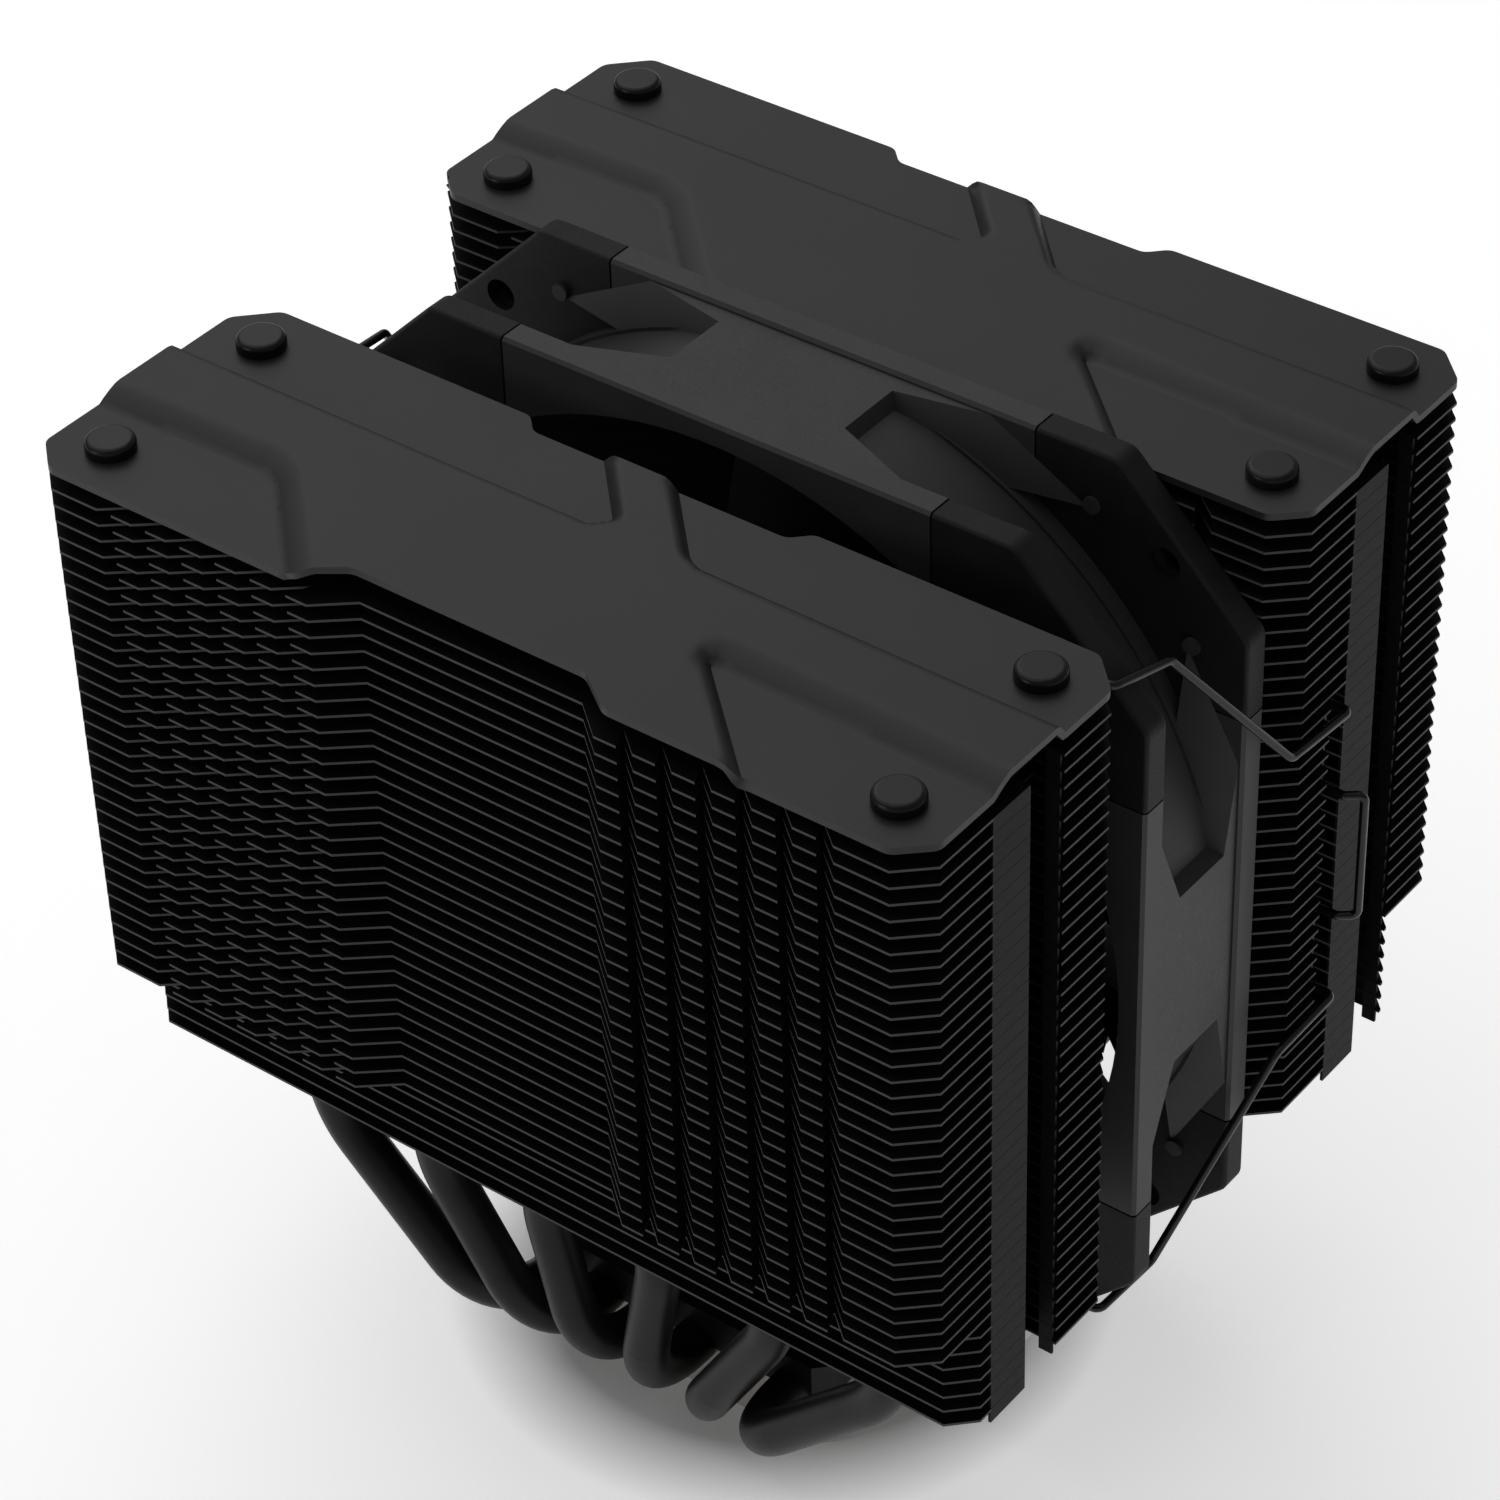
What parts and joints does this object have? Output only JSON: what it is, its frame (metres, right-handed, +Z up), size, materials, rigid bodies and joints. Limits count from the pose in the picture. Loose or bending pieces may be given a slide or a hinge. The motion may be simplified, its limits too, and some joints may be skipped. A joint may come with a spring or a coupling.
{
  "type": "cpu tower cooler",
  "caption": "Twin finned towers on a base plate, joined by bent heat pipes, with a framed axial fan held between them by wire clips.",
  "frame": {"origin": "centre of the cold plate's contact face", "axes": "+Z up from the processor, X along the fin towers, +Y the way the air flows, from the front tower to the back one"},
  "size_m": [0.1444, 0.1202, 0.152],
  "materials": {
    "cold_plate": "nickel plated copper, fine machining lines",
    "base_block": "black anodised block",
    "mounting_bar": "nickel plated steel",
    "screws": "nickel plated steel",
    "springs": "spring wire",
    "rings": "spring steel",
    "fins": "black coated sheet, satin, lighter sheared edges",
    "cover": "satin black formed sheet",
    "cover_caps": "satin black moulded buttons",
    "heat_pipe": "satin black coating on copper",
    "fan_frame": "charcoal glass filled moulding, fine grain",
    "fan_rotor": "charcoal moulding",
    "fan_pad": "dull black rubber",
    "motor_steel": "electrical sheet",
    "magnet": "bonded ferrite",
    "shaft": "ground steel",
    "clip_ring": "white nylon",
    "bearing": "sintered bronze",
    "windings": "enamelled copper wire",
    "circuit_board": "solder mask",
    "clip_wire": "black coated spring wire, glossy"
  },
  "bodies": {
    "cooler": {"cold_plate": "cold_plate", "base_block": "base_block", "mounting_bar": "mounting_bar", "bar_screws": "screws", "front_tower_fins": "fins", "front_tower_lower_fins": "fins", "back_tower_fins": "fins", "back_tower_lower_fins": "fins", "front_cover": "cover", "back_cover": "cover", "front_cover_caps": "cover_caps", "back_cover_caps": "cover_caps", "fan_frame": "fan_frame", "bearing_sleeve": "bearing", "stator_core": "motor_steel", "stator_windings": "windings", "motor_board": "circuit_board", "screw_spring_left": "springs", "screw_spring_right": "springs", "heat_pipe_1": "heat_pipe", "heat_pipe_2": "heat_pipe", "heat_pipe_3": "heat_pipe", "heat_pipe_4": "heat_pipe", "heat_pipe_5": "heat_pipe", "heat_pipe_6": "heat_pipe", "fan_pad_front_bottom_left": "fan_pad", "fan_pad_front_bottom_right": "fan_pad", "fan_pad_front_top_left": "fan_pad", "fan_pad_front_top_right": "fan_pad", "fan_pad_back_bottom_left": "fan_pad", "fan_pad_back_bottom_right": "fan_pad", "fan_pad_back_top_left": "fan_pad", "fan_pad_back_top_right": "fan_pad"},
    "fan_rotor": {"fan_rotor": "fan_rotor", "rotor_yoke": "motor_steel", "rotor_magnet": "magnet", "rotor_shaft": "shaft", "shaft_clip_ring": "clip_ring"},
    "clip_left": {"fan_clip_left": "clip_wire"},
    "clip_right": {"fan_clip_right": "clip_wire"},
    "screw_ring_left": {"screw_retaining_ring_left": "rings"},
    "screw_left": {"spring_screw_left": "screws"},
    "screw_ring_right": {"screw_retaining_ring_right": "rings"},
    "screw_right": {"spring_screw_right": "screws"}
  },
  "joints": [
    {"name": "fan_spin", "type": "hinge", "parent": "cooler", "child": "fan_rotor", "pos_m": [0, 0.004, 0.087], "axis": [0, 1, 0], "continuous": true},
    {"name": "clip_right_swing", "type": "hinge", "parent": "cooler", "child": "clip_right", "pos_m": [0.0525, -0.00705, 0.087], "axis": [0, 0, -1], "range_deg": [0, 26], "stiffness_Nm_per_rad": 0.35, "springref_deg": -4.58},
    {"name": "clip_left_swing", "type": "hinge", "parent": "cooler", "child": "clip_left", "pos_m": [-0.0525, -0.00705, 0.087], "axis": [0, 0, 1], "range_deg": [0, 26], "stiffness_Nm_per_rad": 0.35, "springref_deg": -4.58},
    {"name": "screw_left_press", "type": "slide", "parent": "cooler", "child": "screw_ring_left", "axis": [0, 0, -1], "range_m": [0, 0.0025], "stiffness_N_per_m": 6000, "springref_m": -0.0015, "deforming": ["screw_spring_left"]},
    {"name": "screw_left_turn", "type": "hinge", "parent": "screw_ring_left", "child": "screw_left", "pos_m": [-0.0365, 0, 0.01], "axis": [0, 0, 1], "continuous": true},
    {"name": "screw_right_press", "type": "slide", "parent": "cooler", "child": "screw_ring_right", "axis": [0, 0, -1], "range_m": [0, 0.0025], "stiffness_N_per_m": 6000, "springref_m": -0.0015, "deforming": ["screw_spring_right"]},
    {"name": "screw_right_turn", "type": "hinge", "parent": "screw_ring_right", "child": "screw_right", "pos_m": [0.0365, 0, 0.01], "axis": [0, 0, 1], "continuous": true}
  ]
}
